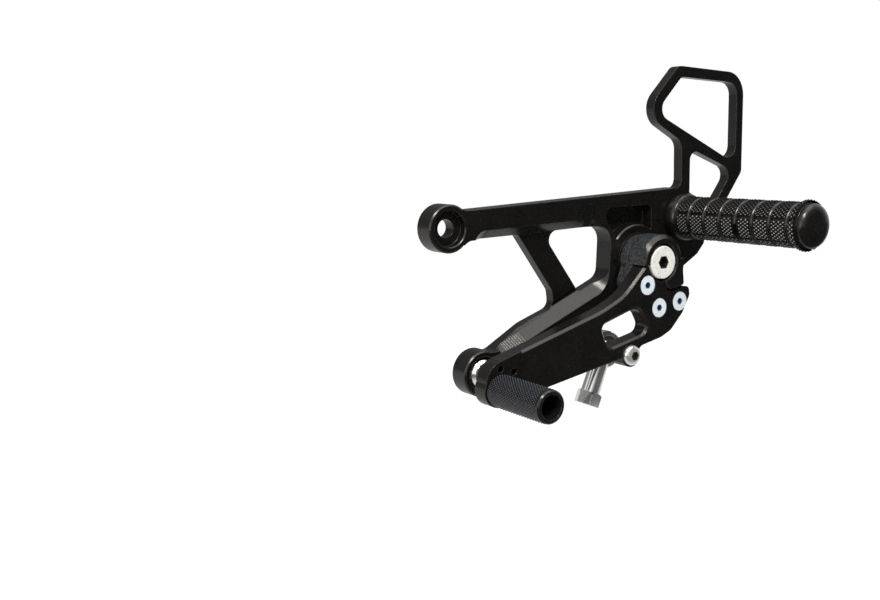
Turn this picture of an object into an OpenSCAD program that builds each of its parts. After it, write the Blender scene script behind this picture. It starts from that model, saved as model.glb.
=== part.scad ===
// Gear-change side rear set: billet side plate, foot peg, change lever and rod end
// X runs rearward, Y inboard and Z up, from the upper mounting bore on the mounting face

/* [Side plate] */
// Thickness of the billet plate
plate_t = 11; // [9.5:0.5:13]
// Thickness of the heel guard, flush with the outboard face
guard_t = 6; // [4:0.5:8]
// Depth of the step and ramps milled between the two arms
step_d = 5.5; // [4:0.5:6.5]
// Width of the sloped ramp along the upper arm
upper_ramp_w = 4.6; // [3:0.2:6]
// Width of the sloped ramp along the lower arm
lower_ramp_w = 5.2; // [3:0.2:6.4]
// Depth of the pocket over the pivot
pocket_d = 7; // [3:0.5:8]
// Outer radius of the two mounting bosses
boss_r = 11.6; // [10.5:0.1:13]
// Width of the chamfer round the rims of the mounting bosses and the pivot boss
boss_rim = 0.8; // [0.4:0.1:1.2]
// Diameter of the two mounting bores
mount_bore_d = 8.9; // [8.4:0.1:9.5]
// Diameter of the counterbores for the mounting bolts
mount_cbore_d = 17; // [15:0.5:18]
// Depth of the counterbores for the mounting bolts
mount_cbore_depth = 4.3; // [3:0.1:6]
// Place of the lower mounting bore, rearward of the upper one
lower_mount_x = 18.6; // [17:0.2:20]
// Place of the lower mounting bore, above the upper one
lower_mount_z = -72.4; // [-74:0.2:-71]

// Radius of the low head of the lower bolt
cap_head_r = 7.2; // [6:0.1:7.8]
// Height of the low head of the lower bolt
cap_head_h = 5; // [4:0.2:5.6]
// How far the lower bolt stands out of the mounting face
stud_len = 5; // [4:0.5:12]
// Width across the flats of the large sockets
socket_w = 5; // [4:1:6]

/* [Foot peg] */
// Place of the foot peg, rearward of the upper mounting bore
peg_x = 152; // [149:0.5:155]
// Place of the foot peg, above the upper mounting bore
peg_z = -2.7; // [-4:0.1:0]
// Radius of the peg's body
peg_r = 11.1; // [10:0.1:11.6]
// Length of the peg without its cap
peg_len = 84.4; // [74:0.2:92]
// Radius of the smooth collar against the plate
collar_r = 13.1; // [12.4:0.1:14]
// Length of the smooth collar
collar_len = 6.5; // [5:0.5:8]
// Distance of the first ring groove from the plate
groove_start = 15.6; // [13:0.2:18]
// Spacing of the ring grooves
groove_pitch = 10.5; // [9:0.1:12]
// Radius of the raised band at the peg's end
band_r = 12.3; // [11.8:0.1:13]
// Length of the raised band
band_len = 5; // [4:0.2:6]
// Depth of the ring and long grooves
groove_d = 1; // [0.5:0.1:1.4]
// Width of the ring and long grooves at the surface
groove_w = 1.8; // [1:0.1:2.4]
// Number of long grooves round the peg
panel_count = 6; // [4:1:8]
// Height of the domed cap
dome_h = 5.8; // [4:0.2:9]
// Radius of the spigot that holds the cap
spigot_r = 6; // [5:0.2:6.4]
// Length of the spigot that holds the cap
spigot_len = 8.5; // [6:0.5:10]

/* [Lever pivot] */
// Place of the pivot, rearward of the upper mounting bore
pivot_x = 119.4; // [117.5:0.2:121]
// Place of the pivot, above the upper mounting bore
pivot_z = -23.5; // [-25:0.1:-22.5]
// Radius of the hub
hub_r = 14.4; // [13.5:0.1:15]
// Radius of the plain neck at the hub's inboard end
neck_r = 13.6; // [12.8:0.1:14]
// Length of the plain neck
neck_len = 5.5; // [3:0.5:7]
// Width of the chamfer round the hub's outboard end
hub_chamfer = 2.1; // [1:0.1:2.6]
// Distance from the pivot to the flat on the hub's front side
hub_flat = 12.7; // [11.8:0.1:13.6]
// Length of the hub along the pivot
hub_len = 18.4; // [16.8:0.1:20]
// Thickness of the ring between hub and plate
pivot_washer_t = 1.3; // [0.8:0.1:2]
// Radius of the pivot bolt's head
pivot_head_r = 8.6; // [7.8:0.1:9]
// Height of the pivot bolt's head
pivot_head_h = 4.7; // [4:0.1:5]
// Nominal diameter of the pivot bolt and of the peg bolt
main_bolt_d = 8; // [7:0.5:8]
// Outer radius of the hardened sleeve
sleeve_r = 6; // [5.4:0.1:6.4]
// Outer radius of the plain bushes
bush_r = 7.5; // [7:0.1:8]
// Length of the plain bushes
bush_len = 5; // [4:0.2:5.4]

/* [Change lever] */
// Thickness of the arm
arm_t = 8.5; // [7:0.5:9.5]
// How far the hub stands proud of the arm's outboard face
hub_proud = 1; // [0.4:0.1:1.6]
// Width of the chamfers on the arm's upper edge and round its slot
arm_chamfer = 1.3; // [0.6:0.1:2]
// Radius of the countersunk heads of the arm screws
arm_screw_head_r = 5; // [4.4:0.1:5.2]
// Nominal diameter of the arm screws
arm_screw_d = 5; // [4:0.5:5]
// Radius of the lobes of the hub behind the arm screws
lobe_r = 5.6; // [5.2:0.2:6.4]
// Outer radius of the toe peg
toe_r = 7.8; // [7:0.1:8.4]
// Bore radius of the toe peg
toe_bore_r = 5.7; // [5.3:0.1:6]
// Length of the toe peg
toe_len = 38.8; // [30:0.2:44]
// Thickness of the toe peg's floor
toe_floor = 5; // [4:0.5:8]
// Nominal diameter of the toe peg bolt and of the link bolt
small_bolt_d = 6; // [5:0.5:6]

/* [Linkage] */
// Place of the link bolt, rearward of the upper mounting bore
link_x = 97.9; // [96:0.1:99]
// Place of the link bolt, above the upper mounting bore
link_z = -70; // [-71:0.2:-69.4]
// Radius of the link bolt's button head
link_head_r = 5.25; // [5:0.05:5.6]
// Length of the black spacer behind the ear
spacer_len = 8; // [7:0.1:9]
// Radius of the black spacer
spacer_r = 5; // [4.4:0.1:5.4]
// Outer radius of the rod end's head
rod_head_r = 10; // [9.6:0.1:10.4]
// Width of the rod end's head
rod_head_w = 6.8; // [6:0.2:7.2]
// Width of the bored ball
ball_w = 9; // [8.6:0.1:9.4]
// Radius of the bored ball
ball_r = 6.35; // [6.1:0.05:6.5]
// Distance from the ball to the end of the shank
rod_len = 31; // [28:0.5:34]
// Lean of the shank towards the front of the machine, in degrees
rod_lean = 23; // [18:1:28]

/* [Hidden] */

$fn = 96;
// Running fit and assembly play, per side
fit = 0.05;
// Step of the arcs in the milled outlines, in degrees
arc_step = 9;

// Colours of the finishes
anodised = [0.10, 0.10, 0.11];
zinc = [0.80, 0.84, 0.88];
chrome = [0.88, 0.89, 0.90];
bronze = [0.70, 0.55, 0.32];
knurled = [0.22, 0.24, 0.28];

// Levels along Y
plate_front = -plate_t;
guard_back = plate_front + guard_t;
hub_back = plate_front - pivot_washer_t - 0.2;
hub_front = hub_back - hub_len;
arm_front = hub_front + hub_proud;
arm_back = arm_front + arm_t;
recess_floor = hub_front + 6;
recess_r = pivot_head_r + 1.3;
bush_flange = 0.8;
pivot_boss_r = hub_r + 4.4;
arm_screw_rim = 0.4;

// Places in the X and Z plane
upper_mount = [0, 0];
lower_mount = [lower_mount_x, lower_mount_z];
pivot = [pivot_x, pivot_z];
peg = [peg_x, peg_z];
dome_r = peg_r - 0.2;
toe = [13.75, -76.1];
link = [link_x, link_z];
arm_screws = [[109.1, -34.7], [117.6, -47.3], [132.4, -45.3]];

// Outlines: each corner is x, z and the radius of its rounding
upper_edge = [[10, -2.2], [88, 0]];
lower_edge = [[32.8, -63.9], [92.5, -40]];
strut_left = [[43.9, 0], [65.6, -36]];
strut_right_foot = 82.9;

function slope(line) = (line[1].y - line[0].y) / (line[1].x - line[0].x);
function level_at(line, x) = line[0].y + (x - line[0].x) * slope(line);
function upper_deep(x) = level_at(upper_edge, x) - upper_ramp_w;
function lower_deep(x) = level_at(lower_edge, x) + lower_ramp_w * sqrt(1 + pow(slope(lower_edge), 2));

body_outline = [
    [3, 7.8, 0], [140, 12.9, 0], [150, 13.27, 0], [158, 8, 0], [171, -17.5, 3], [165, -24, 7],
    [153, -30.6, 8], [137, -36, 6], [126, -43.6, 8], [108, -45.6, 10], [97, -49.3, 8],
    [lower_mount.x + 3.4, lower_mount.y - 7.1, 0], [lower_mount.x, lower_mount.y, 0], [10, -66, 0], [0, 0, 0]
];
front_opening = [
    [-20, upper_deep(-20) + 0.8, 0], [strut_left[0].x, upper_deep(strut_left[0].x), 3],
    [strut_left[1].x, strut_left[1].y, 4], [66.6, lower_deep(66.6), 5], [46.7, -51.3, 14],
    [26, -62.5, 0], [8, -72.2, 0], [-20, -72.2, 0]
];
window = [
    [58.9, upper_deep(58.9), 5], [101.2, upper_deep(101.2), 8], [99.6, lower_deep(99.6), 7],
    [strut_right_foot, lower_deep(strut_right_foot), 2.5]
];
strut_step = [
    [36, upper_deep(36) + 0.3], [92, upper_deep(92) - 0.5], [92, lower_deep(92) + 0.5], [36, lower_deep(36) - 0.3]
];
pivot_pocket = [[97.2, 5, 4], [129.5, 5.4, 4], [129.5, -12, 0], [104, -12, 0], [97.2, -1.5, 3]];
guard_outline = [
    [152, 6, 0], [151.6, 38.3, 7], [123.4, 53.5, 10.6], [148.4, 78.4, 5], [199.4, 75.2, 13],
    [199.4, 20.5, 5], [170, -17.5, 0], [152, -10, 0]
];
boss_webs = [
    web([10.25, 13.02], 5, [231, 273], [[13, 6], [4, 4]]),
    web([12.97, -13.28], 7, [89, 135], [[5, -6], [16, -4]]),
    web([25.27, -57.24], 5, [245, 299], [[30, -65], [22, -66]])
];
guard_web = web([147.6, 17.25], 4, [270, 360], [[153, 17.25], [153, 12], [146.5, 12]]);
guard_window = [[150.6, 72.6, 4], [194.3, 70, 7], [194.3, 25.1, 6.5], [132, 53.8, 6.2]];
guard_window_low = [[158, 34.5, 4.5], [192.6, 21.4, 6], [170.5, -6.4, 3], [158, -2, 0]];
arm_top = [[14.5, -62.1, 0], [78, -45, 40], [93, -38.7, 30], [108.5, -23.5, 0]];
arm_outline = concat(arm_top, [
    [119.4, -23.5, 0], [122.8, -38.6, 0], [127.5, -39.8, 3], [132, -38.4, 0], [135, -37.3, 2], [138.9, -38, 2.5],
    [139.6, -42.5, 4], [134.5, -51.5, 5], [126, -60, 7], [119, -63, 6], [105, -65.8, 3], [103.5, -67.3, 0],
    [97, -69.8, 0], [20, -82.6, 0], [13.6, -76, 0]
]);
arm_slot = [[83, -64.8, 3.5], [110.8, -58.9, 4.5], [103.3, -45.3, 6], [77.6, -52.7, 3.5]];
stop_lug = [[133.9, -22, 0], [133.4, -29, 4], [134.2, -36.3, 1.5], [124, -37.9, 0], [119, -28, 0]];
// Part of the hub's rim that the arm fills, in degrees about the pivot
arm_seat = [184, 283.1];
toe_end = [17, -72.6];
index_holes = [[14.5, -66], [22.3, -68.2]];

// Arc that rounds the corner b between a and c with radius r
function rounding(a, b, c, r) =
    let (u = (a - b) / norm(a - b), w = (c - b) / norm(c - b), half = acos(u * w) / 2,
        centre = b + (u + w) / norm(u + w) * r / sin(half),
        start = b + u * r / tan(half) - centre, end = b + w * r / tan(half) - centre,
        from = atan2(start.y, start.x), turn = atan2(end.y, end.x) - from,
        sweep = turn > 180 ? turn - 360 : turn < -180 ? turn + 360 : turn,
        steps = ceil(abs(sweep) / arc_step))
    [for (i = [0:steps]) centre + r * [cos(from + sweep * i / steps), sin(from + sweep * i / steps)]];

// Web in an inner corner: a hollow arc about a centre, closed by points inside the stock
function web(centre, r, sweep, inside) =
    concat([for (i = [0:6]) let (a = sweep[0] + (sweep[1] - sweep[0]) * i / 6) centre + r * [cos(a), sin(a)]], inside);

function flat(p) = [p[0], p[1]];
function corner(outline, i) =
    let (n = len(outline), b = outline[i])
    b[2] == 0 ? [flat(b)]
              : rounding(flat(outline[(i + n - 1) % n]), flat(b), flat(outline[(i + 1) % n]), b[2]);
function rounded(outline) = [for (i = [0:len(outline) - 1]) each corner(outline, i)];

// Flat stock between two levels along Y, drawn in X and Z
module slab(front, back) {
    translate([0, back, 0]) rotate([90, 0, 0]) linear_extrude(back - front) children();
}

// Round stock along Y
module pin(at, r, front, back) {
    translate([at.x, back, at.y]) rotate([90, 0, 0]) cylinder(r = r, h = back - front);
}

// Tapered stock along Y
module taper(at, r_front, r_back, front, back) {
    translate([at.x, back, at.y]) rotate([90, 0, 0]) cylinder(r1 = r_back, r2 = r_front, h = back - front);
}

// Turned shape about an axis along Y, its profile measured outboard from a level
module turned(at, level) {
    translate([at.x, level, at.y]) rotate([90, 0, 0]) rotate_extrude() children();
}

// Hexagon prism along Y, measured across its flats
module hexagon(at, across, front, back) {
    translate([at.x, back, at.y]) rotate([90, 0, 0]) cylinder(d = across / cos(30), h = back - front, $fn = 6);
}

// Sloped cut along the front edge from a to b, on its left, with the round ends that the cutter leaves
module ramp_cut(a, b, width, depth, reach, r_start, r_end) {
    length = norm(b - a);
    angle = atan2(b.y - a.y, b.x - a.x);
    bite = 0.15;
    translate([a.x, 0, a.y]) rotate([0, -angle, 0]) {
        rotate([90, 0, 90]) linear_extrude(length)
            polygon([
                [plate_front - 1, -width / depth], [plate_front + depth * reach, width * reach],
                [plate_front + depth * reach, width * reach + 2], [plate_front - 1, width * reach + 2]
            ]);
        for (end = [[0, r_start], [length, r_end]])
            taper([end[0], width + end[1] - bite], end[1] + width + width / depth, end[1],
                plate_front - 1, plate_front + depth);
    }
}

module side_plate() color(anodised) difference() {
    union() {
        difference() {
            union() {
                slab(plate_front, 0) polygon(rounded(body_outline));
                slab(plate_front, guard_back) polygon(rounded(guard_outline));
            }
            slab(plate_front - 1, 1) polygon(rounded(front_opening));
            slab(plate_front - 1, 1) polygon(rounded(window));
            slab(plate_front - 1, plate_front + step_d) polygon(strut_step);
            slab(plate_front - 1, guard_back + 1) polygon(rounded(guard_window));
            slab(plate_front - 1, 1) polygon(rounded(guard_window_low));
            slab(plate_front - 1, plate_front + pocket_d) polygon(rounded(pivot_pocket));
            ramp_cut([84, level_at(upper_edge, 84)], [21, level_at(upper_edge, 21)],
                upper_ramp_w, step_d - 0.1, 1.02, 8, 3);
            ramp_cut(lower_edge[0], [lower_edge[1].x - 1, level_at(lower_edge, lower_edge[1].x - 1)],
                lower_ramp_w, step_d - 0.1, 1.15, 3, 8);
        }
        for (at = [upper_mount, lower_mount]) {
            pin(at, boss_r, plate_front + boss_rim, 0);
            taper(at, boss_r - boss_rim, boss_r, plate_front, plate_front + boss_rim);
        }
        slab(plate_front, 0) for (corner_web = boss_webs) polygon(corner_web);
        slab(plate_front, guard_back) polygon(guard_web);
        pin(pivot, pivot_boss_r, plate_front + boss_rim, 0);
        taper(pivot, pivot_boss_r - boss_rim, pivot_boss_r, plate_front, plate_front + boss_rim);
        pin(peg, collar_r + 1.4, plate_front, 0);
    }
    for (at = [upper_mount, lower_mount]) {
        pin(at, mount_bore_d / 2, plate_front - 1, 1);
        pin(at, mount_cbore_d / 2, plate_front - 1, plate_front + mount_cbore_depth);
        taper(at, mount_cbore_d / 2 + 1.6, mount_cbore_d / 2, plate_front - 1, plate_front + 0.6);
    }
    pin(pivot, main_bolt_d / 2 + fit, plate_front - 1, 1);
    pin(peg, main_bolt_d / 2 + 0.2, plate_front - 1, 1);
    pin(peg, main_bolt_d * 0.8 + 0.6, -main_bolt_d * 0.75, 1);
}

// Low cap screw in the lower mounting bore, relieved where its thread begins
module frame_bolt() color(zinc) difference() {
    seat = plate_front + mount_cbore_depth;
    relief = 0.6;
    union() {
        turned(lower_mount, seat) polygon([
            [0, 0], [cap_head_r, 0], [cap_head_r, cap_head_h - 1.4], [cap_head_r - 1.4, cap_head_h], [0, cap_head_h]
        ]);
        pin(lower_mount, main_bolt_d / 2, seat, -relief);
        pin(lower_mount, main_bolt_d / 2 - 0.8, -relief, relief);
        pin(lower_mount, main_bolt_d / 2 - fit, relief, stud_len);
    }
    hexagon(lower_mount, socket_w, seat - cap_head_h - 1, seat - cap_head_h + 3);
}

// Half section of the knurled peg: radius and distance from the plate
function groove_points(at) = [
    [peg_r, at - groove_w / 2], [peg_r - groove_d, at - groove_w / 5],
    [peg_r - groove_d, at + groove_w / 5], [peg_r, at + groove_w / 2]
];

module peg_body() color(anodised) difference() {
    turned(peg, plate_front) polygon(concat(
        [[0, 0], [collar_r - 0.8, 0], [collar_r, 0.8], [collar_r, collar_len * 0.35]],
        [for (a = [15:15:90]) [collar_r - (collar_r - peg_r) * (1 - cos(a)),
            collar_len * (0.35 + 0.65 * sin(a))]],
        [for (at = [groove_start:groove_pitch:peg_len - band_len + 0.2 - groove_w / 2]) each groove_points(at)],
        [
            [peg_r, peg_len - band_len + 0.3], [band_r, peg_len - band_len + 1.6], [band_r, peg_len - 1.8],
            [peg_r - 0.7, peg_len - 0.6], [peg_r - 0.7, peg_len], [0, peg_len]
        ]
    ));
    for (i = [0:panel_count - 1])
        translate([peg.x, 0, peg.y]) rotate([0, 16 + i * 360 / panel_count, 0])
            translate([peg_r - groove_d * 0.8, plate_front - peg_len + 2.2, -groove_w / 3])
                cube([5, peg_len - collar_len - 3.1, groove_w / 1.5]);
    pin(peg, main_bolt_d / 2 + fit, plate_front - 24, plate_front + 1);
    pin(peg, spigot_r + fit, plate_front - peg_len - 1, plate_front - peg_len + spigot_len + 0.5);
}

// Domed cap with a spigot in the end of the peg
module peg_end_cap() color(anodised) turned(peg, plate_front - peg_len) polygon(concat(
    [[0, -spigot_len], [spigot_r - 0.6, -spigot_len], [spigot_r, 0.6 - spigot_len], [spigot_r, 0]],
    [[dome_r, 0], [dome_r, 0.8]],
    [for (a = [6:6:90]) [dome_r * cos(a), 0.8 + (dome_h - 0.8) * sin(a)]]
));

// Cap screw from the inboard face into the peg
module peg_bolt() color(zinc) difference() {
    head_h = main_bolt_d * 0.75 - 1;
    seat = -main_bolt_d * 0.75;
    union() {
        pin(peg, main_bolt_d * 0.8, seat, seat + head_h);
        pin(peg, main_bolt_d / 2, plate_front - 22, seat);
    }
    hexagon(peg, socket_w, seat + head_h - 3, seat + head_h + 1);
}

// Wedge about the pivot between two angles
module wedge(from, to) {
    reach = hub_r * 2;
    polygon([pivot, for (a = [from, (from + to) / 2, to]) pivot + reach * [cos(a), sin(a)]]);
}

// Hub that turns on the pivot, with a chamfered rim, a flat, a stop lug and a lobe behind each arm screw
module lever_hub() color(anodised) difference() {
    union() {
        difference() {
            turned(pivot, hub_back) polygon([
                [0, 0], [neck_r, 0], [neck_r, neck_len], [hub_r, neck_len],
                [hub_r, hub_len - hub_chamfer], [hub_r - hub_chamfer, hub_len], [0, hub_len]
            ]);
            slab(hub_front - 1, hub_back - neck_len) translate(pivot) rotate(168) translate([hub_flat, -hub_r])
                square(hub_r * 2);
        }
        slab(hub_front, hub_back) polygon(rounded(stop_lug));
        slab(arm_back, hub_back) hull() {
            for (at = arm_screws) translate(at) circle(lobe_r);
            translate(pivot) circle(hub_flat - 1);
        }
    }
    difference() {
        slab(hub_front - 1, arm_back) wedge(arm_seat[0] - 0.2, arm_seat[1]);
        pin(pivot, recess_r - fit * 4, hub_front - 2, arm_back + 1);
    }
    pin(pivot, recess_r, hub_front - 1, recess_floor);
    pin(pivot, bush_r, hub_front - 1, hub_back + 1);
    for (at = arm_screws) pin(at, arm_screw_d / 2 + fit, arm_back - 1, hub_back + 1);
}

// Chamfer along the front edge of a line of points, the stock on its right
module edge_chamfer(line, size, level) {
    for (i = [0:len(line) - 2]) {
        run = line[i + 1] - line[i];
        translate([line[i].x, 0, line[i].y]) rotate([0, -atan2(run.y, run.x), 0]) translate([-0.12, 0, 0])
            rotate([90, 0, 90]) linear_extrude(norm(run) + 0.24)
                polygon([[level - 1, -size - 1], [level + size + 1, 1], [level + size + 1, 3], [level - 1, 3]]);
    }
}

// Arm with a seat round the hub, a slot, the toe end and an ear for the linkage
module lever_arm() color(anodised) difference() {
    union() {
        slab(arm_front, arm_back) polygon(rounded(arm_outline));
        pin(toe_end, toe_r + 2.9, arm_front, arm_back);
        pin(toe, toe_r + 0.6, arm_front, arm_back);
        pin(link, small_bolt_d + 0.2, arm_front, arm_back);
    }
    difference() {
        pin(pivot, hub_r + 0.1, arm_front - 1, arm_back + 1);
        slab(arm_front - 2, arm_back + 2) wedge(arm_seat[0], arm_seat[1] + 5);
    }
    pin(pivot, recess_r, arm_front - 1, arm_back + 1);
    edge_chamfer([[27, level_at(arm_top, 27)], each corner(arm_top, 1), each corner(arm_top, 2), flat(arm_top[3])],
        arm_chamfer, arm_front);
    slab(arm_front - 1, arm_back + 1) polygon(rounded(arm_slot));
    edge_chamfer([each rounded(arm_slot), rounded(arm_slot)[0]], arm_chamfer, arm_front);
    for (at = arm_screws) {
        pin(at, arm_screw_d / 2 + 0.15, arm_front - 1, arm_back + 1);
        pin(at, arm_screw_head_r + 0.15, arm_front - 1, arm_front + arm_screw_rim);
        taper(at, arm_screw_head_r + 0.15, arm_screw_d / 2 + 0.15, arm_front + arm_screw_rim,
            arm_front + arm_screw_rim + arm_screw_head_r - arm_screw_d / 2);
    }
    for (at = index_holes) pin(at, 1.6, arm_front - 1, arm_front + 5);
    pin(toe, small_bolt_d / 2 + fit, arm_front - 1, arm_back + 1);
    pin(link, small_bolt_d / 2 + fit, arm_front - 1, arm_back + 1);
}

// Countersunk screw through the arm into the hub
module arm_screw(at) color(zinc) difference() {
    rim_back = arm_front + arm_screw_rim;
    cone_h = arm_screw_head_r - arm_screw_d / 2;
    union() {
        pin(at, arm_screw_head_r, arm_front + 0.1, rim_back);
        taper(at, arm_screw_head_r, arm_screw_d / 2, rim_back, rim_back + cone_h);
        pin(at, arm_screw_d / 2, rim_back + cone_h, hub_back - 1);
    }
    hexagon(at, 3, arm_front - 1, arm_front + 2.2);
}

module pivot_bolt() color(chrome) difference() {
    head_front = hub_front + 0.3;
    union() {
        turned(pivot, head_front + pivot_head_h) polygon([
            [0, 0], [pivot_head_r, 0], [pivot_head_r, pivot_head_h - 0.4],
            [pivot_head_r - 0.4, pivot_head_h], [0, pivot_head_h]
        ]);
        pin(pivot, main_bolt_d / 2, head_front + pivot_head_h, -1);
    }
    hexagon(pivot, socket_w, head_front - 1, head_front + 3);
}

module pivot_sleeve() color(zinc) difference() {
    pin(pivot, sleeve_r, hub_front + 0.3 + pivot_head_h, plate_front);
    pin(pivot, main_bolt_d / 2 + fit, hub_front, 0);
}

module pivot_washer() color(chrome) difference() {
    pin(pivot, hub_r, plate_front - pivot_washer_t, plate_front);
    pin(pivot, sleeve_r + 0.2, plate_front - pivot_washer_t - 1, plate_front + 1);
}

// Plain bush with a thin thrust flange
module bush(front, back, flange_front, flange_back) color(bronze) difference() {
    union() {
        pin(pivot, bush_r, front, back);
        pin(pivot, bush_r + 1.2, flange_front, flange_back);
    }
    pin(pivot, sleeve_r + fit, front - 5, back + 5);
}

module pivot_bush_outboard() {
    bush(recess_floor - bush_flange, recess_floor + bush_len, recess_floor - bush_flange, recess_floor);
}

module pivot_bush_inboard() color(bronze) difference() {
    pin(pivot, bush_r, hub_back - bush_len, hub_back);
    pin(pivot, sleeve_r + fit, hub_back - bush_len - 1, hub_back + 1);
}

module toe_peg() color(knurled) difference() {
    turned(toe, arm_front) polygon([
        [0, 0], [toe_r - 0.5, 0], [toe_r, 0.5], [toe_r, toe_len - 0.8], [toe_r - 0.8, toe_len], [0, toe_len]
    ]);
    pin(toe, toe_bore_r, arm_front - toe_len - 1, arm_front - toe_floor);
    pin(toe, small_bolt_d / 2 + fit, arm_front - toe_floor - 1, arm_front + 1);
}

module toe_peg_bolt() color(anodised) difference() {
    seat = arm_front - toe_floor;
    union() {
        pin(toe, 5, seat - small_bolt_d, seat);
        pin(toe, small_bolt_d / 2, seat, arm_back - 0.5);
    }
    hexagon(toe, 5, seat - small_bolt_d - 1, seat - small_bolt_d / 2);
}

// Levels of the linkage along Y
ball_front = arm_back + spacer_len;
ball_back = ball_front + ball_w;
rod_mid = (ball_front + ball_back) / 2;
nut_h = 5;

module link_bolt() color(chrome) difference() {
    head_h = 2.9;
    union() {
        turned(link, arm_front) polygon(concat(
            [[0, 0], [link_head_r, 0], [link_head_r, 0.5]],
            [for (a = [10:10:60]) [link_head_r * cos(a), 0.5 + (head_h - 0.5) * sin(a) / sin(60)]],
            [[0, head_h]]
        ));
        pin(link, small_bolt_d / 2, arm_front, ball_back + nut_h + 1);
    }
    hexagon(link, 4, arm_front - head_h - 1, arm_front - head_h + 2);
}

module link_spacer() color(anodised) difference() {
    pin(link, spacer_r, arm_back, ball_front);
    pin(link, small_bolt_d / 2 + fit, arm_back - 1, ball_front + 1);
}

module link_nut() color(zinc) difference() {
    intersection() {
        hexagon(link, 10, ball_back, ball_back + nut_h);
        turned(link, ball_back + nut_h) polygon([
            [0, 0], [4.9, 0], [5.8, 0.6], [5.8, nut_h - 0.6], [4.9, nut_h], [0, nut_h]
        ]);
    }
    pin(link, small_bolt_d / 2 + fit, ball_back - 1, ball_back + nut_h + 1);
}

// Arc of a ball, as radius and distance from its middle, up to half its width
function ball_arc(r, half_w) =
    let (reach = asin(half_w / r), steps = 12)
    [for (i = [-steps:steps]) r * [cos(reach * i / steps), sin(reach * i / steps)]];

module rod_end_ball() color(chrome) difference() {
    turned(link, rod_mid) polygon(concat([[0, -ball_w / 2]], ball_arc(ball_r, ball_w / 2), [[0, ball_w / 2]]));
    pin(link, small_bolt_d / 2 + fit, ball_front - 1, ball_back + 1);
}

module rod_end_race() color(bronze) {
    half_w = rod_head_w / 2 - 0.4;
    turned(link, rod_mid) polygon(concat(
        [[ball_r + 1.2, -half_w]], ball_arc(ball_r + fit, half_w), [[ball_r + 1.2, half_w]]
    ));
}

// Rod end with a round head, tapered shank and hexagon collar, tapped from its end
module rod_end_body() color(chrome) {
    collar_h = 7;
    collar_w = 12;
    difference() {
        union() {
            turned(link, rod_mid + rod_head_w / 2) polygon([
                [0, 0], [rod_head_r - 0.8, 0], [rod_head_r, 0.8], [rod_head_r, rod_head_w - 0.8],
                [rod_head_r - 0.8, rod_head_w], [0, rod_head_w]
            ]);
            translate([link.x, rod_mid, link.y]) rotate([0, rod_lean, 0]) mirror([0, 0, 1]) {
                translate([0, 0, rod_head_r - 4]) cylinder(r1 = 4.8, r2 = 5.2, h = rod_len - rod_head_r + 3);
                translate([0, 0, rod_len - collar_h]) intersection() {
                    cylinder(d = collar_w / cos(30), h = collar_h, $fn = 6);
                    cylinder(r1 = collar_w / 2, r2 = collar_w / 2 + 1, h = 1.2);
                }
                translate([0, 0, rod_len - collar_h + 1.2]) intersection() {
                    cylinder(d = collar_w / cos(30), h = collar_h - 1.2, $fn = 6);
                    cylinder(r = collar_w / 2 + 1, h = collar_h - 1.2);
                }
            }
        }
        pin(link, ball_r + 1.2, rod_mid - rod_head_w, rod_mid + rod_head_w);
        translate([link.x, rod_mid, link.y]) rotate([0, rod_lean, 0]) mirror([0, 0, 1])
            translate([0, 0, rod_head_r + 2]) cylinder(r = small_bolt_d / 2, h = rod_len);
    }
}

side_plate();
frame_bolt();
peg_body();
peg_end_cap();
peg_bolt();
lever_hub();
lever_arm();
arm_screw(arm_screws[0]);  // arm_screw_1
arm_screw(arm_screws[1]);  // arm_screw_2
arm_screw(arm_screws[2]);  // arm_screw_3
pivot_bolt();
pivot_sleeve();
pivot_washer();
pivot_bush_outboard();
pivot_bush_inboard();
toe_peg();
toe_peg_bolt();
link_bolt();
link_spacer();
link_nut();
rod_end_body();
rod_end_race();
rod_end_ball();
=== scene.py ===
import math

import bpy
from mathutils import Matrix, Vector


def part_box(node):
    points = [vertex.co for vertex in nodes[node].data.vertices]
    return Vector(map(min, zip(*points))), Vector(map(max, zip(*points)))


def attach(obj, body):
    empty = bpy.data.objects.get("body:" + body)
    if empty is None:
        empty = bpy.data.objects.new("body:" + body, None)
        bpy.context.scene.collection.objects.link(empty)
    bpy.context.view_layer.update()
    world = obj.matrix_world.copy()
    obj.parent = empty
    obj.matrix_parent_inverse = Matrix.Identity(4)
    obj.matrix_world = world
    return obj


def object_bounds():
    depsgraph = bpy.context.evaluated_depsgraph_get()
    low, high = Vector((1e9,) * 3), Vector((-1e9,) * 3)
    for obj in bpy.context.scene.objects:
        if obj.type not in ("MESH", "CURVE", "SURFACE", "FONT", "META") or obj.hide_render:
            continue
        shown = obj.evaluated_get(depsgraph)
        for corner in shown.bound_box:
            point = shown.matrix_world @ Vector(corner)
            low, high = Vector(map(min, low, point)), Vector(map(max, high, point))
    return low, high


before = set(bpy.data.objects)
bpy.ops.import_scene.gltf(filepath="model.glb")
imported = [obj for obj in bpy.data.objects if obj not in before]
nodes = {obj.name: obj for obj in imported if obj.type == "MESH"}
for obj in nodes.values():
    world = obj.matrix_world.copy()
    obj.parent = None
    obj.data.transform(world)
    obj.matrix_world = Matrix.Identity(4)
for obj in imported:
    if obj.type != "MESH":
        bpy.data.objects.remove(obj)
cad_box = [list(corner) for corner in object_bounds()]
scene = bpy.context.scene


# Places taken from the frame, in metres

def centre(name):
    low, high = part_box(name)
    return (low + high) / 2


plate_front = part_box("side_plate")[0].y
peg_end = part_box("peg_body")[0].y
toe_low, toe_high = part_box("toe_peg")
pivot = centre("pivot_bolt")
peg = centre("peg_body")
toe = centre("toe_peg")
link = centre("link_bolt")


# Shaders

WHITE = (1, 1, 1, 1)


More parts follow.
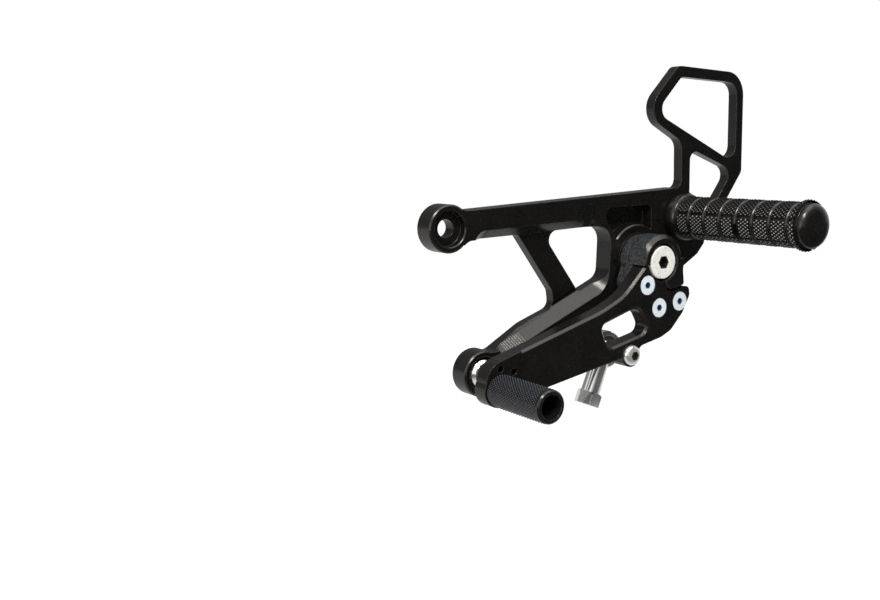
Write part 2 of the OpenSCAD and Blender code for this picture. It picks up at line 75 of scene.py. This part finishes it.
class Nodes:
    """Adds and links the nodes of one tree."""

    def __init__(self, tree):
        self.tree = tree
        self.tree.nodes.clear()

    def add(self, kind, **values):
        node = self.tree.nodes.new(kind)
        for key, value in values.items():
            setattr(node, key, value)
        return node

    def feed(self, value, socket):
        """Links a node's output to a socket, or sets the socket to a plain value."""
        if isinstance(value, bpy.types.NodeSocket):
            self.tree.links.new(value, socket)
        else:
            socket.default_value = value

    def spread(self, value, low, high, to_low=0.0, to_high=1.0, **values):
        """Maps the range from low to high to another range, and stays inside it."""
        node = self.add("ShaderNodeMapRange", **values)
        limits = {"From Min": low, "From Max": high, "To Min": to_low, "To Max": to_high}
        for key, number in {"Value": value, **limits}.items():
            self.feed(number, node.inputs[key])
        return node.outputs[0]

    def maths(self, operation, a, b):
        node = self.add("ShaderNodeMath", operation=operation)
        self.feed(a, node.inputs[0])
        self.feed(b, node.inputs[1])
        return node.outputs[0]

    def vectors(self, operation, a, b):
        node = self.add("ShaderNodeVectorMath", operation=operation)
        self.feed(a, node.inputs[0])
        self.feed(b, node.inputs[1])
        return node.outputs["Value" if operation == "DOT_PRODUCT" else "Vector"]

    def part_of(self, vector, letter):
        """The coordinate of a vector along X, Y or Z."""
        node = self.add("ShaderNodeSeparateXYZ")
        self.feed(vector, node.inputs[0])
        return node.outputs[letter]

    def geometry(self, output):
        return self.add("ShaderNodeNewGeometry").outputs[output]

    def any_ray(self, *kinds):
        """1 for a ray of one of these kinds, and 0 for the others."""
        path = self.add("ShaderNodeLightPath")
        found = path.outputs[kinds[0]]
        for kind in kinds[1:]:
            found = self.maths("MAXIMUM", found, path.outputs[kind])
        return found

    def glow(self, kind, strength):
        """A white background or a white emission."""
        node = self.add(kind)
        node.inputs["Color"].default_value = WHITE
        self.feed(strength, node.inputs["Strength"])
        return node.outputs[0]

    def diffuse(self, level):
        node = self.add("ShaderNodeBsdfDiffuse")
        node.inputs["Color"].default_value = (level, level, level, 1)
        return node.outputs[0]

    def mix(self, factor, first, second):
        """Mixes two shaders."""
        node = self.add("ShaderNodeMixShader")
        for value, socket in zip((factor, first, second), node.inputs):
            self.feed(value, socket)
        return node.outputs[0]


class Shader(Nodes):
    """A material with one Principled shader, and the patterns that drive it."""

    BEVEL_SAMPLES = 10

    def __init__(self, name):
        self.material = bpy.data.materials.new(name)
        self.material.use_nodes = True
        super().__init__(self.material.node_tree)
        out = self.add("ShaderNodeOutputMaterial")
        self.body = self.add("ShaderNodeBsdfPrincipled")
        self.feed(self.body.outputs[0], out.inputs["Surface"])

    def drive(self, **values):
        """Sets or links the shader's inputs, with _ in place of each space in a name."""
        for key, value in values.items():
            self.feed(value, self.body.inputs[key.replace("_", " ")])

    def place(self):
        return self.add("ShaderNodeTexCoord").outputs["Object"]

    def noise(self, scale, detail, roughness=0.5):
        node = self.add("ShaderNodeTexNoise")
        self.feed(self.place(), node.inputs["Vector"])
        for key, number in {"Scale": scale, "Detail": detail, "Roughness": roughness}.items():
            node.inputs[key].default_value = number
        return node.outputs["Fac"]

    def blend(self, factor, first, second):
        """Mixes two colours, each of them three numbers or a node's output."""
        node = self.add("ShaderNodeMix", data_type="RGBA")
        self.feed(factor, node.inputs["Factor"])
        for value, letter in ((first, "A"), (second, "B")):
            plain = not isinstance(value, bpy.types.NodeSocket)
            self.feed((*value, 1) if plain else value, node.inputs[letter])
        return node.outputs["Result"]

    def rounded_edges(self, radius):
        node = self.add("ShaderNodeBevel", samples=self.BEVEL_SAMPLES)
        node.inputs["Radius"].default_value = radius
        return node.outputs[0]

    def edge_wear(self, rounded):
        """1 where the rounded normal leaves the true one, and 0 on flat faces."""
        cosine = self.vectors("DOT_PRODUCT", self.geometry("Normal"), rounded)
        return self.spread(cosine, 0.995, 0.85)

    def bump(self, height, strength, distance, normal):
        node = self.add("ShaderNodeBump")
        node.inputs["Strength"].default_value = strength
        node.inputs["Distance"].default_value = distance
        self.feed(height, node.inputs["Height"])
        self.feed(normal, node.inputs["Normal"])
        return node.outputs[0]

    def hexagon(self, middle, half_width):
        """1 inside a hexagon seen along Y, and 0 outside it."""
        away = self.vectors("SUBTRACT", self.place(), (middle.x, 0, middle.z))
        reach = 0.0
        for turn in HEXAGON_TURNS:
            side = (math.cos(math.radians(turn)), 0, math.sin(math.radians(turn)))
            across = self.maths("ABSOLUTE", self.vectors("DOT_PRODUCT", away, side), 0)
            reach = self.maths("MAXIMUM", reach, across)
        return self.spread(reach, half_width * HEXAGON_SOFT, half_width)


# Directions across the flats of a hexagon socket, and the share by which its rim is soft
HEXAGON_TURNS = (30, 90, 150)
HEXAGON_SOFT = 1.05

# Noise scales per metre
CLOUD_SCALE = 90
SHEEN_SCALE = 400
DUST_SCALE = 900
SPECK_SCALE = 1500
GRAIN_SCALE = 2600

# How far the sheen varies, and how much of a rounded edge is drawn paler, a painted edge highlight
SHEEN_RANGE = 0.04
EDGE_HIGHLIGHT_SHARE = 0.12
EDGE_HIGHLIGHT_COLOUR = (0.12, 0.115, 0.11)
WARM_SHEEN = (1.0, 0.95, 0.91, 1.0)

# Edges of bright metal are rounded by this radius
METAL_EDGE = 0.00025
SPECK_COLOUR = (0.05, 0.045, 0.035)


def anodised(name, colour, roughness, edge=0.0004, dust=None, peaks=None, shine=0.5):
    """Satin anodised aluminium with paler edges as a painted edge highlight, dust on its sides, or
    pale knurl peaks as painted glints, also worn bare on the foot peg.
    """
    s = Shader(name)
    rounded = s.rounded_edges(edge)
    cloud = s.spread(s.noise(CLOUD_SCALE, 4), 0.35, 0.7)
    base = s.blend(cloud, [c * 0.8 for c in colour], [c * 1.2 for c in colour])
    if dust:
        side = s.spread(s.part_of(s.geometry("Normal"), "Y"), -0.7, -0.3)
        grains = s.spread(s.noise(DUST_SCALE, 5, 0.7), 0.40, 0.64)
        base = s.blend(s.maths("MULTIPLY", side, grains), base, dust)
    if peaks:
        # Painted glints: the knurl's high points are drawn pale; on the foot peg they are also worn
        # bare
        height = s.add("ShaderNodeAttribute", attribute_name="peak").outputs["Fac"]
        base = s.blend(s.spread(height, 0.42, 0.72), base, peaks)
    else:
        # Painted edge highlight: rounded edges are drawn a little paler
        wear = s.maths("MULTIPLY", s.edge_wear(rounded), EDGE_HIGHLIGHT_SHARE)
        base = s.blend(wear, base, EDGE_HIGHLIGHT_COLOUR)
    sheen = s.spread(s.noise(SHEEN_SCALE, 2), 0.3, 0.7,
                     roughness - SHEEN_RANGE, roughness + SHEEN_RANGE)
    s.drive(Base_Color=base, Roughness=sheen, Metallic=0.0, Specular_IOR_Level=shine,
            Specular_Tint=WARM_SHEEN, Normal=s.bump(s.noise(GRAIN_SCALE, 2), 0.02, 0.00002, rounded))
    return s.material


def metal(name, colour, roughness, grain=500, specks=0.0, metallic=1.0, socket=None):
    """Bright metal with a fine grain, dark specks, or a socket of (middle, half width, colour)
    painted in that colour as its shade.
    """
    s = Shader(name)
    rounded = s.rounded_edges(METAL_EDGE)
    grains = s.noise(grain, 3)
    base = s.blend(s.spread(grains, 0.3, 0.7), [c * 0.9 for c in colour], colour)
    if specks:
        spots = s.spread(s.noise(SPECK_SCALE, 2), 0.62, 0.68, 0, specks)
        base = s.blend(spots, base, SPECK_COLOUR)
    # Painted shade: the hexagon of the socket is drawn in a dark colour
    if socket:
        middle, half_width, dark = socket
        base = s.blend(s.hexagon(middle, half_width), base, dark)
    sheen = s.spread(grains, 0.3, 0.7, roughness * 0.85, roughness * 1.15)
    s.drive(Base_Color=base, Roughness=sheen, Metallic=metallic,
            Normal=s.bump(grains, 0.05, 0.00003, rounded))
    return s.material


plate_black = anodised("anodised_black", (0.0055, 0.0052, 0.0050), 0.28, edge=0.0007)
lever_black = anodised("anodised_black_lever", (0.0060, 0.0057, 0.0055), 0.28, edge=0.0006)
hub_black = anodised("anodised_black_hub", (0.0060, 0.0057, 0.0055), 0.30,
                     dust=(0.070, 0.076, 0.084))
peg_black = anodised("anodised_black_peg", (0.0060, 0.0055, 0.0051), 0.25, edge=0.0005)
# Pale tips: worn bare metal and painted glints
knurl_black = anodised("knurl_black", (0.0030, 0.0029, 0.0028), 0.35, edge=0.00006,
                       peaks=(0.32, 0.32, 0.305), shine=0.12)
# Pale ridges: painted highlights
knurl_blue = anodised("knurl_blue_grey", (0.0040, 0.0042, 0.0050), 0.34, edge=0.00006,
                      peaks=(0.085, 0.092, 0.108), shine=0.18)
marks_black = anodised("anodised_black_marks", (0.0075, 0.0070, 0.0066), 0.26, edge=0.00008)
# Painted shade: a near-black for the floor of the peg's deep notch
painted_shade_black = anodised("painted_shade_black", (0.0012, 0.0012, 0.0012), 0.5, shine=0.05)
rim_black = anodised("knurl_rim", (0.008, 0.0080, 0.009), 0.22, edge=0.0006)
black_steel = anodised("black_steel", (0.006, 0.006, 0.007), 0.28)

chrome = metal("chrome_plated", (0.98, 0.98, 0.96), 0.08, grain=120, metallic=0.85)
zinc = metal("zinc_plated", (0.86, 0.90, 0.94), 0.5, grain=260, metallic=0.5)
bronze = metal("sintered_bronze", (0.40, 0.32, 0.18), 0.42)
# Painted shade: the washer between hub and plate is drawn much darker than the bronze bushes
painted_shade_bronze = metal("painted_shade_bronze", (0.06, 0.053, 0.034), 0.45)
# Its hex socket is painted near-black as shade
stainless = metal("machined_stainless", (0.95, 0.95, 0.88), 0.5, specks=0.8, metallic=0.2,
                  socket=(pivot, 0.0031, (0.012, 0.011, 0.008)))
# Its hex socket is painted dark as shade
button_chrome = metal("button_chrome", (0.93, 0.93, 0.90), 0.14, grain=120, metallic=0.75,
                      socket=(link, 0.0021, (0.08, 0.07, 0.055)))

finishes = {
    plate_black: ["side_plate"],
    lever_black: ["lever_arm"],
    hub_black: ["lever_hub"],
    peg_black: ["peg_body", "peg_end_cap"],
    rim_black: ["toe_peg"],
    zinc: ["peg_bolt", "link_nut"],
    stainless: ["pivot_bolt"],
    button_chrome: ["link_bolt"],
    chrome: ["pivot_sleeve", "frame_bolt", "rod_end_body", "rod_end_ball"],
    painted_shade_bronze: ["pivot_washer"],
    bronze: ["pivot_bush_outboard", "pivot_bush_inboard", "rod_end_race"],
    black_steel: ["toe_peg_bolt", "link_spacer"],
}
# Each screw has a material of its own, because the painted shade in its socket, tinted blue, is
# drawn at its place
for number in (1, 2, 3):
    screw = f"arm_screw_{number}"
    screw_zinc = metal(f"screw_zinc_{number}", (0.84, 0.92, 0.97), 0.5, grain=260, metallic=0.2,
                       socket=(centre(screw), 0.0016, (0.03, 0.08, 0.16)))
    finishes[screw_zinc] = [screw]
for material, names in finishes.items():
    for name in names:
        slots = nodes[name].data.materials
        slots.clear()
        slots.append(material)


# Pieces of surface

def mesh_piece(name, points, faces, material, body, heights=None, smooth=None):
    """Makes a piece that rides on a body; heights are those of the points of a knurl, which its
    material paints pale as glints.
    """
    mesh = bpy.data.meshes.new(name)
    mesh.from_pydata(points, [], faces)
    mesh.materials.append(material)
    if heights:
        peak = mesh.attributes.new("peak", "FLOAT", "POINT")
        peak.data.foreach_set("value", heights)
    mesh.validate()
    if smooth:
        mesh.polygons.foreach_set("use_smooth", [True] * len(mesh.polygons))
        mesh.set_sharp_from_angle(angle=smooth)
    piece = bpy.data.objects.new(name, mesh)
    scene.collection.objects.link(piece)
    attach(piece, body)


class Knurl:
    """Mesh data of a knurl, where each point has a height of 0 in a valley and 1 on a peak, scaled
    by a painted glint that the material draws pale.
    """

    def __init__(self):
        self.points, self.faces, self.heights = [], [], []

    def point(self, axis, r, angle, y, height):
        self.points.append((axis.x + r * math.cos(angle), y, axis.z + r * math.sin(angle)))
        self.heights.append(height)

    def field(self, axis, radii, angles, levels, closed=False, wear=lambda angle: 1.0, flank=0.0):
        """Pyramids round an axis along Y; radii gives valley and peak for each level."""
        first = len(self.points)
        columns, rows = len(angles), len(levels)
        for j, (y, (r_low, r_high)) in enumerate(zip(levels, radii)):
            for i, angle in enumerate(angles):
                edge = j in (0, rows - 1) or (not closed and i in (0, columns - 1))
                if edge or (i + j) % 2 == 0:
                    # Painted highlight: the first column of an open field is lifted to a pale line
                    # along the panel's edge
                    lit = flank if not closed and i == 0 else 0
                    self.point(axis, r_low, angle, y, lit)
                else:
                    self.point(axis, r_high, angle, y, wear(angle))
        for j in range(rows - 1):
            for i in range(columns if closed else columns - 1):
                a = first + j * columns + i
                b = first + j * columns + (i + 1) % columns
                c, d = b + columns, a + columns
                even = (i + j) % 2 == 0
                self.faces += [(a, b, c), (a, c, d)] if even else [(a, b, d), (b, c, d)]
        return first

    def tile(self, axis, radii, angles, levels, depth, **looks):
        """A closed tile of pyramids whose sides reach down by depth."""
        first = self.field(axis, radii, angles, levels, **looks)
        columns, rows = len(angles), len(levels)
        rim = [first + i for i in range(columns)]
        rim += [first + j * columns + columns - 1 for j in range(1, rows)]
        rim += [first + (rows - 1) * columns + i for i in range(columns - 2, -1, -1)]
        rim += [first + j * columns for j in range(rows - 2, 0, -1)]
        low, count = len(self.points), len(rim)
        for index in rim:
            x, y, z = self.points[index]
            x, z = x - axis.x, z - axis.z
            self.point(axis, math.hypot(x, z) - depth, math.atan2(z, x), y, 0)
        for k in range(count):
            after = (k + 1) % count
            self.faces.append((rim[after], rim[k], low + k, low + after))
        self.faces.append(tuple(low + k for k in range(count)))


class Sweep:
    """Mesh data of sections swept round an axis along Y, for the floors of grooves."""

    def __init__(self):
        self.points, self.faces = [], []

    def ring(self, axis, section, angles, closed):
        """Sweeps a section of (radius, y) points, and caps both ends where it isn't closed."""
        first, size, columns = len(self.points), len(section), len(angles)
        for angle in angles:
            x, z = math.cos(angle), math.sin(angle)
            self.points += [(axis.x + r * x, y, axis.z + r * z) for r, y in section]
        for i in range(columns if closed else columns - 1):
            here, there = first + i * size, first + (i + 1) % columns * size
            for k in range(size):
                after = (k + 1) % size
                self.faces.append((here + k, there + k, there + after, here + after))
        if not closed:
            last = first + (columns - 1) * size
            self.faces.append(tuple(first + k for k in range(size)))
            self.faces.append(tuple(last + k for k in reversed(range(size))))


def arc(start, end, steps):
    return [start + (end - start) * k / steps for k in range(steps + 1)]


# Foot peg: knurled panels between ring grooves and long grooves

PEG_R = 0.0111
PEG_LEN = plate_front - peg_end
COLLAR_LEN = 0.0065
BAND_R, BAND_LEN = 0.0123, 0.005
BAND_LEAD, BAND_RAMP = 0.0003, 0.0013
GROOVE_START, GROOVE_PITCH, GROOVE_COUNT, GROOVE_W = 0.0156, 0.0105, 7, 0.0018
PANEL_COUNT, PANEL_TURN = 6, math.radians(16)

# Half steps of the knurl, the levels of its valleys and peaks, and the depth of its tiles
PEG_ALONG, PEG_ROUND = 0.00137, 0.0009
PEG_VALLEY, PEG_PEAK, TILE_DEPTH = 0.00002, 0.00050, 0.0003

# What the knurl leaves free beside the collar, the grooves, the peg's end and the long grooves
COLLAR_GAP, GROOVE_GAP, END_GAP, SIDE_GAP = 0.0008, 0.0001, 0.0006, 0.00068

# The one wider and deeper notch, between two angles in one of the ring grooves; a near-black floor
# at the peg's surface is painted shade for its depth
NOTCH_RING, NOTCH_PANEL, NOTCH_WIDENING = 3, 3, 0.0005
NOTCH_START, NOTCH_END, NOTCH_STEPS = math.radians(184), math.radians(235), 16
NOTCH_LIFT = 0.00003

# Ring grooves are hollows from this depth up to their rims, over a base inside the peg
FLOOR_DEPTH, FLOOR_RISE, FLOOR_BASE = 0.00045, 0.00065, 0.0012
FLOOR_HALF_STEPS, FLOOR_STEP, RING_STEPS = 6, 0.00015, 96
SHARP_ANGLE = math.radians(40)


def peg_surface(s):
    """Radius of the peg's body at the distance s from the plate."""
    start = PEG_LEN - BAND_LEN + BAND_LEAD
    return PEG_R + (BAND_R - PEG_R) * min(1, max(0, (s - start) / BAND_RAMP))


def cut_rows(start, end, step):
    """Rows of a knurl at a fixed step, cut off by the grooves at start and end."""
    count = int((end - start) / step)
    first = (start + end - (count - 1) * step) / 2
    return [start] + [first + k * step for k in range(count)] + [end]


def sole_wear(angle):
    """Painted glints on the knurl's tips: brightest on the front of the peg, and at a lower even
    level elsewhere.
    """
    forward = max(0.0, math.cos(angle - math.radians(192)))
    return 0.56 + 0.44 * forward ** 2


rings = [GROOVE_START + i * GROOVE_PITCH for i in range(GROOVE_COUNT)]
starts = [COLLAR_LEN + COLLAR_GAP] + [ring + GROOVE_W / 2 + GROOVE_GAP for ring in rings]
ends = [ring - GROOVE_W / 2 - GROOVE_GAP for ring in rings] + [PEG_LEN - END_GAP]
panel_span = math.tau / PANEL_COUNT
side_turn = SIDE_GAP / PEG_R

peg_knurl = Knurl()
for number, (start, end) in enumerate(zip(starts, ends)):
    for panel in range(PANEL_COUNT):
        begin_cut = NOTCH_WIDENING if (panel, number) == (NOTCH_PANEL, NOTCH_RING + 1) else 0
        end_cut = NOTCH_WIDENING if (panel, number) == (NOTCH_PANEL, NOTCH_RING) else 0
        spans = cut_rows(start + begin_cut, end - end_cut, PEG_ALONG)
        levels = [plate_front - span for span in spans]
        radii = [(peg_surface(s) + PEG_VALLEY, peg_surface(s) + PEG_PEAK) for s in spans]
        begin = -PANEL_TURN - panel * panel_span + side_turn
        angles = cut_rows(begin, begin + panel_span - 2 * side_turn, PEG_ROUND / PEG_R)
        # Tips carry painted glints by angle, and each panel's first edge a pale painted line
        peg_knurl.tile(peg, radii, angles, levels, TILE_DEPTH, wear=sole_wear, flank=0.5)
mesh_piece("peg_knurl", peg_knurl.points, peg_knurl.faces, knurl_black, "plate",
           heights=peg_knurl.heights)

notch_y = plate_front - rings[NOTCH_RING]
notch_half = GROOVE_W / 2 + NOTCH_WIDENING
notch_section = [(PEG_R - FLOOR_BASE, notch_y - notch_half),
                 (PEG_R + NOTCH_LIFT, notch_y - notch_half),
                 (PEG_R + NOTCH_LIFT, notch_y + notch_half),
                 (PEG_R - FLOOR_BASE, notch_y + notch_half)]
# The notch floor lies at the peg's surface, painted near-black as the shade of its depth
notch = Sweep()
notch.ring(peg, notch_section, arc(NOTCH_START, NOTCH_END, NOTCH_STEPS), False)
mesh_piece("peg_notch_floor", notch.points, notch.faces, painted_shade_black, "plate",
           smooth=SHARP_ANGLE)

floors = Sweep()
for number, ring in enumerate(rings):
    hollow = []
    for k in range(-FLOOR_HALF_STEPS, FLOOR_HALF_STEPS + 1):
        rise = FLOOR_RISE * (k / FLOOR_HALF_STEPS) ** 2
        hollow.append((PEG_R - FLOOR_DEPTH + rise, plate_front - ring + FLOOR_STEP * k))
    base = PEG_R - FLOOR_BASE
    section = [(base, hollow[0][1])] + hollow + [(base, hollow[-1][1])]
    if number == NOTCH_RING:
        floors.ring(peg, section, arc(NOTCH_END, NOTCH_START + math.tau, RING_STEPS), False)
    else:
        floors.ring(peg, section, arc(0, math.tau, RING_STEPS)[:-1], True)
mesh_piece("peg_groove_floors", floors.points, floors.faces, peg_black, "plate",
           smooth=SHARP_ANGLE)


# Toe peg: one knurl all round, short of both ends of the tube

TOE_R = 0.0078
TOE_ALONG, TOE_ROUND = 0.00102, 0.00066
TOE_VALLEY, TOE_PEAK = -0.00008, 0.00034
TOE_END_GAP, TOE_GAPS = 0.0008, 0.0024

toe_span = toe_high.y - toe_low.y - TOE_GAPS
toe_rows = 2 * round(toe_span / TOE_ALONG / 2)
toe_columns = 2 * round(math.tau * TOE_R / TOE_ROUND / 2)
toe_levels = [toe_high.y - TOE_END_GAP - toe_span * k / toe_rows for k in range(toe_rows + 1)]
toe_knurl = Knurl()
toe_knurl.field(toe, [(TOE_R + TOE_VALLEY, TOE_R + TOE_PEAK)] * len(toe_levels),
                arc(0, math.tau, toe_columns)[:-1], toe_levels, closed=True)
# Its pale ridges are painted highlights, drawn by the material's peak colour
mesh_piece("toe_knurl", toe_knurl.points, toe_knurl.faces, knurl_blue, "lever",
           heights=toe_knurl.heights)


# Cutter marks at the foot of the lower ramp: hollows side by side, with a cusp between each two

MARK_PITCH, MARK_COUNT, MARK_STEPS, MARK_DEPTH = 0.00145, 9, 6, 0.00009
MARK_NEAR, MARK_FAR, MARK_START = 0.0004, 0.0068, 0.0006
MARK_LIFT, MARK_END_LIFT, MARK_BASE = 0.00003, 0.00002, -0.0003
RAMP_DEPTH, RAMP_WIDTH = 0.0054, 0.0052

ramp_start = Vector((0.0328, plate_front, -0.0639))
ramp_end = Vector((0.0925, plate_front, -0.0400))
ramp_line = (ramp_end - ramp_start).normalized()
ramp_uphill = ramp_line.cross(Vector((0, 1, 0))).normalized()
ramp_down = (Vector((0, RAMP_DEPTH, 0)) + ramp_uphill * RAMP_WIDTH).normalized()
ramp_normal = ramp_line.cross(ramp_down).normalized()

mark_rows = MARK_COUNT * MARK_STEPS
mark_points, mark_faces = [], []
for k in range(mark_rows + 1):
    from_middle = (k % MARK_STEPS) / MARK_STEPS * 2 - 1
    height = MARK_LIFT + MARK_DEPTH * from_middle ** 2
    if k in (0, mark_rows):
        height = MARK_END_LIFT
    foot = ramp_start + ramp_line * (MARK_START + MARK_PITCH * k / MARK_STEPS)
    for across, lift in ((MARK_NEAR, MARK_BASE), (MARK_NEAR, height),
                         (MARK_FAR, height), (MARK_FAR, MARK_BASE)):
        mark_points.append(tuple(foot + ramp_down * across + ramp_normal * lift))
for k in range(mark_rows):
    here, there = 4 * k, 4 * k + 4
    for j in range(4):
        after = (j + 1) % 4
        mark_faces.append((here + j, there + j, there + after, here + after))
last = 4 * mark_rows
mark_faces += [(0, 1, 2, 3), (last + 3, last + 2, last + 1, last)]
mesh_piece("ramp_cutter_marks", mark_points, mark_faces, marks_black, "plate")


# Camera, solved from the photo in the frame of the plate

AZIMUTH, ELEVATION, ROLL = (math.radians(angle) for angle in (-32.846, 8.875, -1.067))
CAMERA_PLACE = Vector((-0.2653, -0.4117, 0.0415))

right = Vector((math.cos(AZIMUTH), math.sin(AZIMUTH), 0))
back = Vector((math.sin(AZIMUTH) * math.cos(ELEVATION),
               -math.cos(AZIMUTH) * math.cos(ELEVATION),
               math.sin(ELEVATION)))
up = back.cross(right)
rolled_right = right * math.cos(ROLL) + up * math.sin(ROLL)
rolled_up = up * math.cos(ROLL) - right * math.sin(ROLL)
camera_data = bpy.data.cameras.new("camera")
camera_data.sensor_width = 36
camera_data.lens = 41.96
camera_data.clip_start = 0.01
camera_data.clip_end = 100
camera = bpy.data.objects.new("camera", camera_data)
scene.collection.objects.link(camera)
turn = Matrix((rolled_right, rolled_up, back)).transposed().to_4x4()
camera.matrix_world = Matrix.Translation(CAMERA_PLACE) @ turn
scene.camera = camera


# Studio: white to the camera, dark on the side that the flat outboard faces mirror

FLAG_SIDE = (0.45, -0.88, -0.12)
PALE_LEVEL, FLAG_LEVEL, REAR_LEVEL = 0.95, 0.04, 0.2
SOFT_LIGHT = 0.30

# Low enough for the toe peg when the lever is pressed down
FLOOR_DROP = 0.020
FLOOR_HALF = 6
FLOOR_GREY, FLOOR_SHADOW, FLOOR_GLOW = 0.85, 0.15, 0.95
# In mirrors the floor is dark in front of the part, and pale from under it on
FLOOR_DARK_Y, FLOOR_PALE_Y = -0.09, -0.03
FLOOR_DARK_LEVEL, FLOOR_PALE_LEVEL = 0.05, 0.72


def light_world():
    world = bpy.data.worlds.new("studio")
    scene.world = world
    world.use_nodes = True
    n = Nodes(world.node_tree)
    direction = n.add("ShaderNodeTexCoord").outputs["Generated"]
    flag = n.vectors("DOT_PRODUCT", direction, Vector(FLAG_SIDE).normalized())
    level = n.spread(flag, 0.25, 0.85, PALE_LEVEL, FLAG_LEVEL, interpolation_type="SMOOTHSTEP")
    behind = n.spread(n.part_of(direction, "Y"), 0.3, 0.75, 1, REAR_LEVEL,
                      interpolation_type="SMOOTHSTEP")
    mirrored = n.glow("ShaderNodeBackground", n.maths("MULTIPLY", level, behind))
    soft = n.glow("ShaderNodeBackground", SOFT_LIGHT)
    lit = n.mix(n.any_ray("Is Glossy Ray"), soft, mirrored)
    direct = n.any_ray("Is Camera Ray", "Is Transmission Ray")
    out = n.add("ShaderNodeOutputWorld")
    n.feed(n.mix(direct, lit, n.glow("ShaderNodeBackground", 1)), out.inputs["Surface"])


def floor_material():
    """Almost white with a faint shadow to the camera, and open from below."""
    material = bpy.data.materials.new("floor_white")
    material.use_nodes = True
    n = Nodes(material.node_tree)
    seen = n.add("ShaderNodeAddShader")
    n.feed(n.diffuse(FLOOR_SHADOW), seen.inputs[0])
    n.feed(n.glow("ShaderNodeEmission", FLOOR_GLOW), seen.inputs[1])
    level = n.spread(n.part_of(n.geometry("Position"), "Y"), FLOOR_DARK_Y, FLOOR_PALE_Y,
                     FLOOR_DARK_LEVEL, FLOOR_PALE_LEVEL)
    mirrored = n.glow("ShaderNodeEmission", level)
    shown = n.mix(n.any_ray("Is Glossy Ray"), seen.outputs[0], mirrored)
    direct = n.any_ray("Is Camera Ray", "Is Glossy Ray", "Is Transmission Ray")
    above = n.mix(direct, n.diffuse(FLOOR_GREY), shown)
    clear = n.add("ShaderNodeBsdfTransparent").outputs[0]
    out = n.add("ShaderNodeOutputMaterial")
    n.feed(n.mix(n.geometry("Backfacing"), above, clear), out.inputs["Surface"])
    return material


def lay_floor():
    z = cad_box[0][2] - FLOOR_DROP
    corners = [(-1, -1), (1, -1), (1, 1), (-1, 1)]
    mesh = bpy.data.meshes.new("floor")
    mesh.from_pydata([(x * FLOOR_HALF, y * FLOOR_HALF, z) for x, y in corners], [], [(0, 1, 2, 3)])
    mesh.materials.append(floor_material())
    piece = bpy.data.objects.new("floor", mesh)
    scene.collection.objects.link(piece)


def lamp(name, offset, size, power, colour=(1, 1, 1)):
    """An area lamp that looks at the middle of the part from an offset."""
    data = bpy.data.lights.new(name, "AREA")
    data.shape = "RECTANGLE"
    data.size, data.size_y = size
    data.energy = power
    data.color = colour
    item = bpy.data.objects.new(name, data)
    scene.collection.objects.link(item)
    middle = (Vector(cad_box[0]) + Vector(cad_box[1])) / 2
    item.location = middle + Vector(offset)
    item.rotation_mode = "QUATERNION"
    item.rotation_quaternion = (-Vector(offset)).to_track_quat("-Z", "Y")
    item.visible_camera = False


light_world()
lay_floor()
lamp("key", (-0.52, -0.64, 1.01), (0.36, 0.36), 15, (1.0, 0.985, 0.96))
lamp("top", (0.30, -0.35, 1.25), (1.0, 0.8), 5)
lamp("left", (-1.2, -0.35, 0.1), (0.4, 0.7), 3)

scene.view_settings.view_transform = "Standard"
